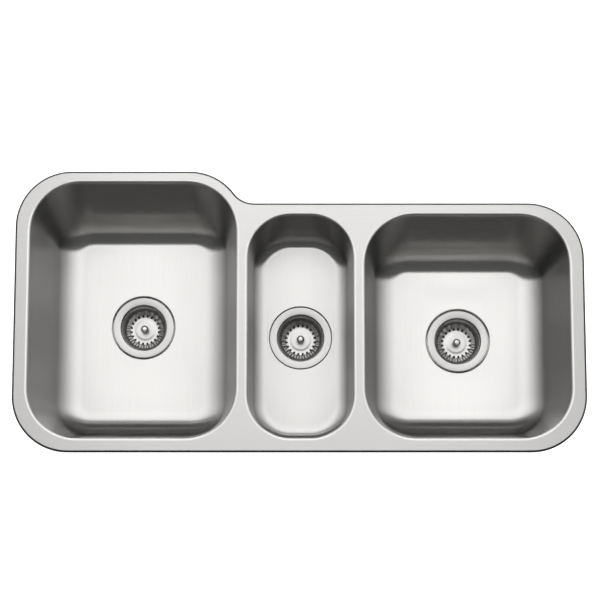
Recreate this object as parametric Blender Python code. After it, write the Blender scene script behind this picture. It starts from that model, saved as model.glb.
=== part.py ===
"""A three-bowl undermount kitchen sink with lift-out basket strainers.

Each bowl is pressed from one sheet with its own share of the rim, and the three are butt-welded side by side.
A strainer is clamped in the floor of each bowl, with a flanged tailpiece below it.

Units are metres, +Z is up and +Y is the back of the counter. The origin is in the middle of the front rim,
on its flat top face, which seals against the underside of the counter.
"""

import math
from dataclasses import dataclass

import bmesh
import bpy
from mathutils import Matrix, Vector

# ---------------------------------------------------------------- the bowls and their rim

SHEET = 0.0012  # thickness of the pressed stainless sheet
GAP = 0.0003  # clearance between two pieces that touch

OVERALL_WIDTH = 1.015
LEFT_FRONT_TO_BACK = 0.5035  # of the rim round the left bowl
RIGHT_FRONT_TO_BACK = 0.4455  # of the rim round the middle and right bowls
RIM_CORNER = 0.100  # outer corner radius of the rim
STEP_FILLET = 0.045  # concave radius where the back edge steps forward
STEP_CORNER_X = -0.197  # centre of the rim's convex corner at that step

RIM_FRONT = 0.0262  # from the rim's front edge to a bowl's wall
RIM_SIDE = 0.0275
ORIGIN_FROM_FRONT = 0.0100
RIM_RADIUS = 0.005  # round between the flat rim and a bowl's wall

FRONT_EDGE = -ORIGIN_FROM_FRONT
LEFT_BACK_EDGE = FRONT_EDGE + LEFT_FRONT_TO_BACK
RIGHT_BACK_EDGE = FRONT_EDGE + RIGHT_FRONT_TO_BACK
LEFT_EDGE = -OVERALL_WIDTH / 2
RIGHT_EDGE = OVERALL_WIDTH / 2


@dataclass
class Bowl:
    name: str
    width: float  # between the walls, at the top
    length: float
    corner: float  # radius of the walls' corners
    depth: float  # from the rim to the floor at the drain
    draft: float  # slope of the walls, from vertical
    floor_radius: float  # between the walls and the floor
    fall: float  # from the floor's edge to the drain
    forward: float  # how far the floor's outline is set forward of the opening
    drain_forward: float  # how far the drain is
    centre: Vector = None


LEFT_DRAFT, MIDDLE_DRAFT, RIGHT_DRAFT = math.radians(7.6), math.radians(3), math.radians(8.5)
LEFT = Bowl("left", 0.367, 0.455, 0.088, 0.229, LEFT_DRAFT, 0.044, 0.0025, 0.0080, 0.005)
MIDDLE = Bowl("middle", 0.187, 0.396, 0.076, 0.152, MIDDLE_DRAFT, 0.020, 0.0008, 0.0045, 0.004)
RIGHT = Bowl("right", 0.363, 0.396, 0.088, 0.203, RIGHT_DRAFT, 0.044, 0.0025, 0.0070, 0.004)
BOWLS = (LEFT, MIDDLE, RIGHT)
DIVIDER = (OVERALL_WIDTH - 2 * RIM_SIDE - sum(bowl.width for bowl in BOWLS)) / 2
CORNER_STEPS = 4  # segments in each corner of a bowl, and along each of its sides
RIM_STEPS = 2
FLOOR_STEPS = 4
OUTLINE_STEPS = 8  # segments in a quarter turn of the rim's outline

RECESS_RADIUS = 0.0600  # pressed seat for the strainer's flange
RECESS_DEPTH = 0.0030
RECESS_ROUND = 0.0010
DRAIN_HOLE_RADIUS = 0.0452

WELD_WIDTH = 0.0034
WELD_HEIGHT = 0.0010
WELD_END_RADIUS = 0.0015

PAD_THICKNESS = 0.0025
ADHESIVE = 0.0006  # clearance between a pad and the sheet
PAD_CORNER = 0.012
PAD_HALF_HEIGHT = 0.050
BACK_PAD_HALF_WIDTH = 0.085
SIDE_PAD_HALF_WIDTH = 0.100
FLOOR_PAD_INNER = 0.22  # share of the way from the recess to the floor's edge
FLOOR_PAD_OUTER = 0.92

# ---------------------------------------------------------------- the strainers
# Depths are measured down from the bowl's floor at the drain.

TURN_STEPS = 24
FLANGE_RADIUS = 0.05715
FLANGE_THICKNESS = 0.0018
FLANGE_DEPTH = 0.0002
FLANGE_BEVEL = 0.0008
LIP_ROUND = 0.0020
THROAT_RADIUS = 0.0434
STRAINER_WALL = 0.0012
THROAT_DEPTH = 0.0270
SHOULDER_RADIUS = 0.0374
SHOULDER_DEPTH = 0.0365
SEAT_TOP_RADIUS = 0.0240  # the cone that the stopper closes
SEAT_TOP_DEPTH = 0.0408
SEAT_RADIUS = 0.0205
SEAT_DEPTH = 0.0430
SPIGOT_INNER = 0.0180
SPIGOT_OUTER = 0.0225
SPIGOT_TOP = 0.0465
SPIGOT_END = 0.0620

SEAL_OUTER = 0.0560
PUTTY_THICKNESS = RECESS_DEPTH - FLANGE_DEPTH - FLANGE_THICKNESS - 2 * GAP
GASKET_THICKNESS = 0.0030
FRICTION_RING_THICKNESS = 0.0010
NUT_HEIGHT = 0.0100
NUT_OUTER = 0.0530
LUG_OUTER = 0.0580
LUG_COUNT = 6
LUG_DEGREES = 16

TAIL_OUTER = 0.01905  # a 38.1 mm tube
TAIL_WALL = 0.0012
TAIL_LIP_RADIUS = 0.0220
TAIL_LIP_THICKNESS = 0.0016
TAIL_LENGTH = 0.0900
WASHER_THICKNESS = 0.0020
COUPLING_INNER = SPIGOT_OUTER + GAP
COUPLING_OUTER = 0.0275
COUPLING_RIB = 0.0300
COUPLING_RIB_COUNT = 8
COUPLING_HEIGHT = 0.0160
COUPLING_LIP = 0.0022
COUPLING_BEVEL = 0.0020

CROSSBAR_DEPTH = 0.0500
CROSSBAR_THICKNESS = 0.0015
CROSSBAR_HUB = 0.0062
CROSSBAR_HOLE = 0.0036
CROSSBAR_RING = 0.0025
CROSSBAR_ARM = 0.0030

# (radius, depth) down the basket's inside, and which way its sheet is thickened there
BASKET_RIM = (0.0418, 0.0120)
BASKET_WALL_TOP = (0.0392, 0.0150)
BASKET_WALL_FOOT = (0.0364, 0.0345)
SLOT_OUTER_END = (0.0298, 0.0366)
SLOT_INNER_END = (0.0242, 0.0375)
BASKET_SHELL = 0.0010
BASKET_FLOOR_DEPTH = SLOT_INNER_END[1]
BASKET_BOSS_OUTER = 0.0195
BASKET_BOSS_INNER = 0.0170
BASKET_BOSS_TOP = 0.0370
SLOT_COUNT = 20
SLOT_WIDTH = 0.0036

KNOB_RADIUS = 0.0070
KNOB_DEPTH = 0.0165
KNOB_WAIST = 0.0050
STEM_SHOULDER_RADIUS = 0.0064
NECK_RADIUS = 0.0042
PIN_RADIUS = 0.0016
STEM_END = 0.0560
STEM_STEPS = 16
STOPPER_TOP_RADIUS = 0.0200
STOPPER_THICKNESS = 0.0036
CLIP_OUTER = 0.0031
CLIP_INNER = 0.0019
CLIP_TOP = 0.0465
CLIP_BOTTOM = 0.0545
CLIP_SLIT_DEGREES = 40
SMALL_HOLE_STEPS = 12

# ---------------------------------------------------------------- scene and materials


def clear_scene():
    for obj in list(bpy.data.objects):
        bpy.data.objects.remove(obj)


def material(name, colour, metallic, roughness):
    made = bpy.data.materials.new(name)
    made.use_nodes = True
    shader = made.node_tree.nodes["Principled BSDF"]
    shader.inputs["Base Color"].default_value = (*colour, 1.0)
    shader.inputs["Metallic"].default_value = metallic
    shader.inputs["Roughness"].default_value = roughness
    return made


def place(name, data, surface, placement):
    """Links a new object for a mesh or a curve, with its material."""
    obj = bpy.data.objects.new(name, data)
    bpy.context.scene.collection.objects.link(obj)
    data.materials.append(surface)
    obj.matrix_world = placement
    return obj


def place_mesh(name, bm, surface, placement):
    bmesh.ops.remove_doubles(bm, verts=bm.verts, dist=1e-6)
    bmesh.ops.recalc_face_normals(bm, faces=bm.faces)
    mesh = bpy.data.meshes.new(name)
    bm.to_mesh(mesh)
    bm.free()
    mesh.shade_smooth()
    mesh.set_sharp_from_angle(angle=math.radians(35))
    return place(name, mesh, surface, placement)


# ---------------------------------------------------------------- outlines


def polar(radius, degrees):
    return radius * math.cos(math.radians(degrees)), radius * math.sin(math.radians(degrees))


def arc(centre, radius, start, end, steps):
    """Points on an arc, angles in degrees, both ends included."""
    points = [polar(radius, start + (end - start) * i / steps) for i in range(steps + 1)]
    return [(centre[0] + x, centre[1] + y) for x, y in points]


def circle(radius, steps):
    return arc((0, 0), radius, 0, 360, steps)[:-1]


def rounded_rectangle(half_x, half_y, radius, corner_steps, side_steps=1):
    """Anticlockwise, from the lower end of the corner at +X +Y."""
    x, y = half_x - radius, half_y - radius
    corners = ((x, y, 0), (-x, y, 90), (-x, -y, 180), (x, -y, 270))
    arcs = [arc((cx, cy), radius, a, a + 90, corner_steps) for cx, cy, a in corners]
    points = []
    for this, following in zip(arcs, arcs[1:] + arcs[:1]):
        points += this
        start, end = Vector(this[-1]), Vector(following[0])
        points += [tuple(start.lerp(end, k / side_steps)) for k in range(1, side_steps)]
    return points


def lugged_outline(low, high, count, lug_degrees, steps):
    """A circle of radius low with square lugs that reach radius high."""
    pitch = 360 / count
    points = []
    for i in range(count):
        start = i * pitch
        points += arc((0, 0), high, start, start + lug_degrees, 2)
        points += arc((0, 0), low, start + lug_degrees + 1, start + pitch - 1, steps)
    return points


# ---------------------------------------------------------------- solids


def turned(name, profile, steps, surface, centre):
    """Spins a closed profile of (radius, depth) points round the vertical axis at centre."""
    bm = bmesh.new()
    points = [bm.verts.new((radius, 0.0, -depth)) for radius, depth in profile]
    edges = []
    for i, point in enumerate(points):
        following = points[(i + 1) % len(points)]
        if max(point.co.x, following.co.x) > 0:
            edges.append(bm.edges.new((point, following)))
    bmesh.ops.spin(
        bm,
        geom=points + edges,
        cent=(0, 0, 0),
        axis=(0, 0, 1),
        angle=math.tau,
        steps=steps,
        use_merge=True,
    )
    return place_mesh(name, bm, surface, Matrix.Translation(centre))


def bridge(bm, one, other):
    for i in range(len(one)):
        k = (i + 1) % len(one)
        bm.faces.new((one[i], one[k], other[k], other[i]))


def looped(name, loops, surface, centre):
    """A ring-shaped solid: each loop of points is joined to the next, and the last to the first."""
    bm = bmesh.new()
    rings = [[bm.verts.new(point) for point in loop] for loop in loops]
    for one, other in zip(rings, rings[1:] + rings[:1]):
        bridge(bm, one, other)
    return place_mesh(name, bm, surface, Matrix.Translation(centre))


def plate(name, outlines, thickness, surface, placement):
    """Extrudes a flat outline, with any holes as further outlines. Its underside is at the placement."""
    curve = bpy.data.curves.new(name, "CURVE")
    curve.dimensions = "2D"
    curve.fill_mode = "BOTH"
    curve.extrude = thickness / 2
    for outline in outlines:
        spline = curve.splines.new("POLY")
        spline.points.add(len(outline) - 1)
        for point, (x, y) in zip(spline.points, outline):
            point.co = (x, y, 0.0, 1.0)
        spline.use_cyclic_u = True
    return place(name, curve, surface, placement @ Matrix.Translation((0, 0, thickness / 2)))


def ring(name, centre, depth, thickness, inner, outer, surface):
    """A flat ring whose upper face is at this depth."""
    placement = Matrix.Translation(centre - Vector((0, 0, depth + thickness)))
    outlines = [circle(outer, TURN_STEPS), circle(inner, TURN_STEPS)]
    return plate(name, outlines, thickness, surface, placement)


# ---------------------------------------------------------------- the rim


def place_bowls():
    """Works out each bowl's centre from the rim's edges and the divider's width."""
    left = LEFT_EDGE + RIM_SIDE
    for bowl in BOWLS:
        middle_y = FRONT_EDGE + RIM_FRONT + bowl.length / 2
        bowl.centre = Vector((left + bowl.width / 2, middle_y, 0.0))
        left += bowl.width + DIVIDER


def seam_positions():
    """The X of the two welded seams, halfway across the dividers."""
    return [
        bowl.centre.x + (bowl.width + DIVIDER) / 2
        for bowl in (LEFT, MIDDLE)
    ]


def rim_outlines(left_seam, right_seam):
    """The outer outline of each bowl's share of the rim, anticlockwise, cut square at the seams."""
    half_gap = GAP / 2
    low_y = FRONT_EDGE + RIM_CORNER
    left_x, right_x = LEFT_EDGE + RIM_CORNER, RIGHT_EDGE - RIM_CORNER

    # The step in the back edge is a convex corner and a concave fillet that meet at a tangent.
    corner = Vector((STEP_CORNER_X, LEFT_BACK_EDGE - RIM_CORNER))
    rise = RIGHT_BACK_EDGE + STEP_FILLET - corner.y
    run = math.sqrt((RIM_CORNER + STEP_FILLET) ** 2 - rise**2)
    fillet = corner + Vector((run, rise))
    tangent = math.degrees(math.atan2(rise, run))

    def fillet_angle(x):
        return 360 - math.degrees(math.acos((x - fillet.x) / STEP_FILLET))

    left_end, middle_start = left_seam - half_gap, left_seam + half_gap
    middle_end, right_start = right_seam - half_gap, right_seam + half_gap
    left = (
        [(left_end, FRONT_EDGE)]
        + arc(fillet, STEP_FILLET, fillet_angle(left_end), 180 + tangent, 3)
        + arc(corner, RIM_CORNER, tangent, 90, OUTLINE_STEPS)[1:]
        + arc((left_x, corner.y), RIM_CORNER, 90, 180, OUTLINE_STEPS)
        + arc((left_x, low_y), RIM_CORNER, 180, 270, OUTLINE_STEPS)
    )
    middle = (
        [(middle_start, FRONT_EDGE), (middle_end, FRONT_EDGE), (middle_end, RIGHT_BACK_EDGE)]
        + arc(fillet, STEP_FILLET, 270, fillet_angle(middle_start), 3)
    )
    high_y = RIGHT_BACK_EDGE - RIM_CORNER
    right = (
        [(right_start, FRONT_EDGE)]
        + arc((right_x, low_y), RIM_CORNER, 270, 360, OUTLINE_STEPS)
        + arc((right_x, high_y), RIM_CORNER, 0, 90, OUTLINE_STEPS)
        + [(right_start, RIGHT_BACK_EDGE)]
    )
    return left, middle, right


def make_weld(name, seam_x, surface):
    """The bead left on the underside of the rim, along a butt-welded seam."""
    half_length = (RIGHT_FRONT_TO_BACK - RIM_FRONT) / 2
    outline = rounded_rectangle(WELD_WIDTH / 2, half_length, WELD_END_RADIUS, 3)
    middle_y = (FRONT_EDGE + RIGHT_BACK_EDGE) / 2
    placement = Matrix.Translation((seam_x, middle_y, -SHEET - GAP - WELD_HEIGHT))
    return plate(name, [outline], WELD_HEIGHT, surface, placement)


# ---------------------------------------------------------------- the bowls


def wall_foot(bowl):
    """Height where the straight wall runs into the round at its foot."""
    return bowl.fall - bowl.depth + bowl.floor_radius * (1 - math.sin(bowl.draft))


def forward_at(bowl, height):
    """How far a level of the bowl is set forward of the opening."""
    return bowl.forward * min(height / wall_foot(bowl), 1.0)


def drain_point(bowl):
    """The floor's level at the middle of the drain."""
    return bowl.centre + Vector((0, -bowl.drain_forward, -bowl.depth))


def wall_inset(bowl, height):
    """How far the straight wall is in from its own top, at a height."""
    top_inset = RIM_RADIUS * (math.cos(bowl.draft) - 1)
    top_height = RIM_RADIUS * (math.sin(bowl.draft) - 1)
    return top_inset + (top_height - height) * math.tan(bowl.draft)


def wall_profile(bowl):
    """(inset, height) points from the flat rim down to the edge of the floor."""
    points = []
    for i in range(RIM_STEPS + 1):
        a = (math.pi / 2 - bowl.draft) * i / RIM_STEPS
        points.append((RIM_RADIUS * (math.sin(a) - 1), RIM_RADIUS * (math.cos(a) - 1)))
    radius = bowl.floor_radius
    foot = wall_foot(bowl)
    centre_inset = wall_inset(bowl, foot) + radius * math.cos(bowl.draft)
    centre_height = foot + radius * math.sin(bowl.draft)
    for i in range(FLOOR_STEPS + 1):
        a = bowl.draft + (math.pi / 2 - bowl.draft) * i / FLOOR_STEPS
        points.append((centre_inset - radius * math.cos(a), centre_height - radius * math.sin(a)))
    return points


def wall_loop(bowl, inset, height):
    outline = rounded_rectangle(
        bowl.width / 2 - inset,
        bowl.length / 2 - inset,
        bowl.corner - inset,
        CORNER_STEPS,
        CORNER_STEPS,
    )
    forward = forward_at(bowl, height)
    return [bowl.centre + Vector((x, y - forward, height)) for x, y in outline]


def drain_loop(bowl, radius, height):
    """A circle round the drain, with one point for each point of a wall loop."""
    first = 22.5  # so that the middle of each corner is at 45 degrees
    points = arc((0, 0), radius, first, first + 360, 8 * CORNER_STEPS)[:-1]
    return [bowl.centre + Vector((x, y - bowl.drain_forward, height)) for x, y in points]


def floor_loop(bowl, share, below):
    """A loop under the floor. Share 0 is the edge of the drain's recess and 1 is the floor's edge."""
    inset, height = wall_profile(bowl)[-1]
    outer = wall_loop(bowl, inset, height - below)
    inner = drain_loop(bowl, RECESS_RADIUS, -bowl.depth - below)
    return [a.lerp(b, share) for a, b in zip(inner, outer)]


def make_bowl(bowl, outline, surface):
    """The inner face of the pressing from the rim to the drain hole, thickened outwards."""
    seat = -bowl.depth - RECESS_DEPTH
    loops = [wall_loop(bowl, *point) for point in wall_profile(bowl)]
    loops += [
        drain_loop(bowl, RECESS_RADIUS, -bowl.depth),
        drain_loop(bowl, RECESS_RADIUS - RECESS_ROUND, seat + RECESS_ROUND),
        drain_loop(bowl, RECESS_RADIUS - 2 * RECESS_ROUND, seat),
        drain_loop(bowl, DRAIN_HOLE_RADIUS, seat),
    ]
    bm = bmesh.new()
    rings = [[bm.verts.new(point) for point in loop] for loop in loops]
    for one, other in zip(rings, rings[1:]):
        bridge(bm, one, other)
    border = [bm.verts.new((x, y, 0.0)) for x, y in outline]
    edges = [bm.edges.new(pair) for pair in zip(border, border[1:] + border[:1])]
    edges += [bm.edges.get(pair) for pair in zip(rings[0], rings[0][1:] + rings[0][:1])]
    bmesh.ops.triangle_fill(bm, use_beauty=True, use_dissolve=False, edges=edges)
    bmesh.ops.recalc_face_normals(bm, faces=bm.faces)
    rim_face = max(bm.faces, key=lambda face: face.calc_center_median().z)
    if rim_face.normal.z < 0:
        bmesh.ops.reverse_faces(bm, faces=bm.faces)
    mesh = bpy.data.meshes.new(bowl.name + "_bowl")
    bm.to_mesh(mesh)
    bm.free()
    mesh.shade_smooth()
    obj = place(bowl.name + "_bowl", mesh, surface, Matrix())
    thickness = obj.modifiers.new("sheet", "SOLIDIFY")
    thickness.thickness = SHEET
    thickness.offset = -1
    thickness.use_even_offset = True
    return obj


def make_floor_pad(bowl, surface):
    """A sound-deadening pad glued under the floor, with a round hole for the strainer's nut."""
    top = SHEET + ADHESIVE
    bottom = top + PAD_THICKNESS
    loops = [
        floor_loop(bowl, FLOOR_PAD_INNER, top),
        floor_loop(bowl, FLOOR_PAD_OUTER, top),
        floor_loop(bowl, FLOOR_PAD_OUTER, bottom),
        floor_loop(bowl, FLOOR_PAD_INNER, bottom),
    ]
    return looped(bowl.name + "_floor_pad", loops, surface, Vector())


def make_wall_pad(name, bowl, facing, half_width, surface):
    """A pad glued outside a wall, at mid height. Facing is that wall's outward direction from above."""
    across = Vector((-facing.y, facing.x, 0.0))
    slope = math.atan(math.tan(bowl.draft) - facing.y * bowl.forward / wall_foot(bowl))
    outward = facing * math.cos(slope) - Vector((0, 0, math.sin(slope)))
    up = outward.cross(across)
    height = (wall_foot(bowl) - RIM_RADIUS) / 2
    inset = wall_inset(bowl, height)
    reach = abs(facing.x) * bowl.width / 2 + abs(facing.y) * bowl.length / 2 - inset
    point = bowl.centre + facing * reach + Vector((0, -forward_at(bowl, height), height))
    turn = Matrix((across, up, outward)).transposed().to_4x4()
    placement = Matrix.Translation(point + outward * (SHEET + ADHESIVE)) @ turn
    outline = rounded_rectangle(half_width, PAD_HALF_HEIGHT, PAD_CORNER, 3)
    return plate(name, [outline], PAD_THICKNESS, surface, placement)


# ---------------------------------------------------------------- the strainer's fixed pieces


def strainer_profile():
    """The pressed and threaded cup: down its inside from the flange, then up its outside."""
    return [
        (FLANGE_RADIUS - FLANGE_BEVEL, FLANGE_DEPTH),
        (THROAT_RADIUS + LIP_ROUND, FLANGE_DEPTH),
        (THROAT_RADIUS, FLANGE_DEPTH + LIP_ROUND),
        (THROAT_RADIUS, THROAT_DEPTH),
        (SHOULDER_RADIUS, SHOULDER_DEPTH),
        (SEAT_TOP_RADIUS, SEAT_TOP_DEPTH),
        (SEAT_RADIUS, SEAT_DEPTH),
        (SPIGOT_INNER, SPIGOT_TOP),
        (SPIGOT_INNER, SPIGOT_END),
        (SPIGOT_OUTER, SPIGOT_END),
        (SPIGOT_OUTER, SPIGOT_TOP),
        (SHOULDER_RADIUS + STRAINER_WALL, SHOULDER_DEPTH + STRAINER_WALL),
        (THROAT_RADIUS + STRAINER_WALL, THROAT_DEPTH + STRAINER_WALL / 2),
        (THROAT_RADIUS + STRAINER_WALL, FLANGE_DEPTH + FLANGE_THICKNESS),
        (FLANGE_RADIUS, FLANGE_DEPTH + FLANGE_THICKNESS),
        (FLANGE_RADIUS, FLANGE_DEPTH + FLANGE_BEVEL),
    ]


def make_crossbar(name, centre, surface):
    """A stamped spider across the outlet, with a hole that guides the basket's clip."""
    outer = SPIGOT_INNER - GAP
    window = outer - CROSSBAR_RING
    outlines = [circle(outer, TURN_STEPS), circle(CROSSBAR_HOLE, SMALL_HOLE_STEPS)]
    at_ring = math.degrees(math.asin(CROSSBAR_ARM / 2 / window))
    at_hub = math.degrees(math.asin(CROSSBAR_ARM / 2 / CROSSBAR_HUB))
    for start in (0, 90, 180, 270):
        far_side = arc((0, 0), window, start + at_ring, start + 90 - at_ring, 4)
        near_side = arc((0, 0), CROSSBAR_HUB, start + 90 - at_hub, start + at_hub, 2)
        outlines.append(far_side + near_side)
    placement = Matrix.Translation(centre - Vector((0, 0, CROSSBAR_DEPTH + CROSSBAR_THICKNESS)))
    return plate(name, outlines, CROSSBAR_THICKNESS, surface, placement)


def make_coupling(name, centre, top, bottom, surface):
    """The slip nut: a ribbed sleeve, with an inner lip that holds the tailpiece's lip to the spigot."""
    lip_top = bottom - COUPLING_LIP
    lip_inner = TAIL_OUTER + GAP
    sections = (
        (COUPLING_INNER, COUPLING_INNER, top),
        (COUPLING_INNER, COUPLING_INNER, lip_top),
        (lip_inner, lip_inner, lip_top),
        (lip_inner, lip_inner, bottom),
        (COUPLING_OUTER, COUPLING_OUTER, bottom),
        (COUPLING_OUTER, COUPLING_RIB, bottom - COUPLING_BEVEL),
        (COUPLING_OUTER, COUPLING_RIB, top + COUPLING_BEVEL),
        (COUPLING_OUTER, COUPLING_OUTER, top),
    )
    loops = []
    for valley, rib, depth in sections:
        loop = []
        for i in range(4 * COUPLING_RIB_COUNT):
            radius = rib if i % 4 < 2 else valley
            x, y = polar(radius, 360 * i / (4 * COUPLING_RIB_COUNT))
            loop.append(Vector((x, y, -depth)))
        loops.append(loop)
    return looped(name, loops, surface, centre)


def make_strainer(side, centre, steel, zinc, rubber, fibre, putty, nylon):
    """The fixed pieces in the order that they are clamped together. Centre is on the floor at the drain."""
    turned(side + "_strainer_body", strainer_profile(), TURN_STEPS, steel, centre)
    make_crossbar(side + "_crossbar", centre, steel)

    hole = DRAIN_HOLE_RADIUS + GAP
    depth = FLANGE_DEPTH + FLANGE_THICKNESS + GAP
    ring(side + "_putty_seal", centre, depth, PUTTY_THICKNESS, hole, SEAL_OUTER, putty)
    depth = RECESS_DEPTH + SHEET + GAP
    ring(side + "_gasket", centre, depth, GASKET_THICKNESS, hole, SEAL_OUTER, rubber)
    depth += GASKET_THICKNESS + GAP
    thickness = FRICTION_RING_THICKNESS
    ring(side + "_friction_ring", centre, depth, thickness, hole, SEAL_OUTER, fibre)
    depth += thickness + GAP + NUT_HEIGHT
    lugs = lugged_outline(NUT_OUTER, LUG_OUTER, LUG_COUNT, LUG_DEGREES, 3)
    thread = circle(THROAT_RADIUS + STRAINER_WALL + GAP, TURN_STEPS)
    placement = Matrix.Translation(centre - Vector((0, 0, depth)))
    plate(side + "_locknut", [lugs, thread], NUT_HEIGHT, zinc, placement)

    depth = SPIGOT_END + GAP
    washer = side + "_tailpiece_washer"
    ring(washer, centre, depth, WASHER_THICKNESS, SPIGOT_INNER, TAIL_LIP_RADIUS, nylon)
    lip_top = depth + WASHER_THICKNESS + GAP
    lip_bottom = lip_top + TAIL_LIP_THICKNESS
    tube = [
        (TAIL_OUTER - TAIL_WALL, lip_top),
        (TAIL_OUTER - TAIL_WALL, lip_top + TAIL_LENGTH),
        (TAIL_OUTER, lip_top + TAIL_LENGTH),
        (TAIL_OUTER, lip_bottom),
        (TAIL_LIP_RADIUS, lip_bottom),
        (TAIL_LIP_RADIUS, lip_top),
    ]
    turned(side + "_tailpiece", tube, TURN_STEPS, steel, centre)
    bottom = lip_bottom + GAP + COUPLING_LIP
    make_coupling(side + "_coupling_nut", centre, bottom - COUPLING_HEIGHT, bottom, zinc)


# ---------------------------------------------------------------- the lift-out basket


def slot_angles(radius):
    """The sides of every slot, in degrees, so that a slot's sides stay parallel."""
    half = math.degrees(math.asin(SLOT_WIDTH / 2 / radius))
    middles = [360 * (i + 0.5) / SLOT_COUNT for i in range(SLOT_COUNT)]
    return [angle for middle in middles for angle in (middle - half, middle + half)]


def basket_profiles():
    """The basket's inside and its outside, each from the rim to the hole for the stem."""
    inner_and_outwards = (
        (BASKET_RIM, (0.7, 0.7)),
        (BASKET_WALL_TOP, (0.9, 0.5)),
        (BASKET_WALL_FOOT, (0.7, 0.8)),
        (SLOT_OUTER_END, (0.2, 1)),
        (SLOT_INNER_END, (0, 1)),
        ((BASKET_BOSS_OUTER, BASKET_FLOOR_DEPTH), (0, 1)),
        ((BASKET_BOSS_INNER, BASKET_BOSS_TOP), (0, 1)),
        ((NECK_RADIUS + GAP, BASKET_BOSS_TOP), (0, 1)),
    )
    inner = [point for point, _ in inner_and_outwards]
    outer = [
        (radius + BASKET_SHELL * out, depth + BASKET_SHELL * down)
        for (radius, depth), (out, down) in inner_and_outwards
    ]
    return inner, outer


def make_basket(name, centre, surface):
    """A pressed cup whose slots run out over the slope round its floor."""
    slotted = basket_profiles()[0].index(SLOT_OUTER_END)
    smallest = SLOT_WIDTH * 4  # within this radius the points stop following the slots
    bm = bmesh.new()
    sheets = []
    for profile in basket_profiles():
        rings = []
        for radius, depth in profile:
            points = [polar(radius, angle) for angle in slot_angles(max(radius, smallest))]
            rings.append([bm.verts.new((x, y, -depth)) for x, y in points])
        sheets.append(rings)
    for rings in sheets:
        for row, (one, other) in enumerate(zip(rings, rings[1:])):
            for i in range(2 * SLOT_COUNT):
                k = (i + 1) % (2 * SLOT_COUNT)
                if i % 2 or row != slotted:
                    bm.faces.new((one[i], one[k], other[k], other[i]))
    upper, lower = sheets
    bridge(bm, upper[0], lower[0])
    bridge(bm, upper[-1], lower[-1])
    for i in range(0, 2 * SLOT_COUNT, 2):
        corners = ((slotted, i), (slotted, i + 1), (slotted + 1, i + 1), (slotted + 1, i))
        for (row, k), (next_row, next_k) in zip(corners, corners[1:] + corners[:1]):
            side = (upper[row][k], upper[next_row][next_k], lower[next_row][next_k], lower[row][k])
            bm.faces.new(side)
    return place_mesh(name, bm, surface, Matrix.Translation(centre))


def stem_profile():
    """The knob, the neck through the basket and its stopper, and the pin that carries the clip."""
    shoulder = BASKET_BOSS_TOP - GAP
    return [
        (0.0, KNOB_DEPTH),
        (KNOB_RADIUS * 0.65, KNOB_DEPTH + 0.0010),
        (KNOB_RADIUS, KNOB_DEPTH + 0.0050),
        (KNOB_RADIUS * 0.95, KNOB_DEPTH + 0.0100),
        (KNOB_WAIST, KNOB_DEPTH + 0.0145),
        (STEM_SHOULDER_RADIUS, shoulder),
        (NECK_RADIUS, shoulder),
        (NECK_RADIUS, CLIP_TOP - GAP),
        (PIN_RADIUS, CLIP_TOP - GAP),
        (PIN_RADIUS, STEM_END),
        (0.0, STEM_END),
    ]


def stopper_profile():
    """A rubber disc under the basket, bevelled to match the seat that it closes."""
    top = BASKET_FLOOR_DEPTH + BASKET_SHELL + GAP
    bottom = top + STOPPER_THICKNESS
    slope = (SEAT_DEPTH - SEAT_TOP_DEPTH) / (SEAT_TOP_RADIUS - SEAT_RADIUS)
    edge_depth = SEAT_TOP_DEPTH + GAP
    edge_radius = SEAT_TOP_RADIUS - 3 * GAP - (edge_depth - SEAT_TOP_DEPTH) / slope
    return [
        (NECK_RADIUS + GAP, top),
        (STOPPER_TOP_RADIUS, top),
        (edge_radius, edge_depth),
        (edge_radius - (bottom - edge_depth) / slope, bottom),
        (NECK_RADIUS + GAP, bottom),
    ]


def make_lift_out(side, centre, steel, rubber):
    make_basket(side + "_basket", centre, steel)
    turned(side + "_basket_stem", stem_profile(), STEM_STEPS, steel, centre)
    turned(side + "_stopper", stopper_profile(), TURN_STEPS, rubber, centre)
    half = CLIP_SLIT_DEGREES / 2
    c_shape = arc((0, 0), CLIP_OUTER, half, 360 - half, 12)
    c_shape += arc((0, 0), CLIP_INNER, 360 - half, half, 8)
    placement = Matrix.Translation(centre - Vector((0, 0, CLIP_BOTTOM)))
    plate(side + "_stem_clip", [c_shape], CLIP_BOTTOM - CLIP_TOP, steel, placement)


# ---------------------------------------------------------------- the sink


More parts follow.
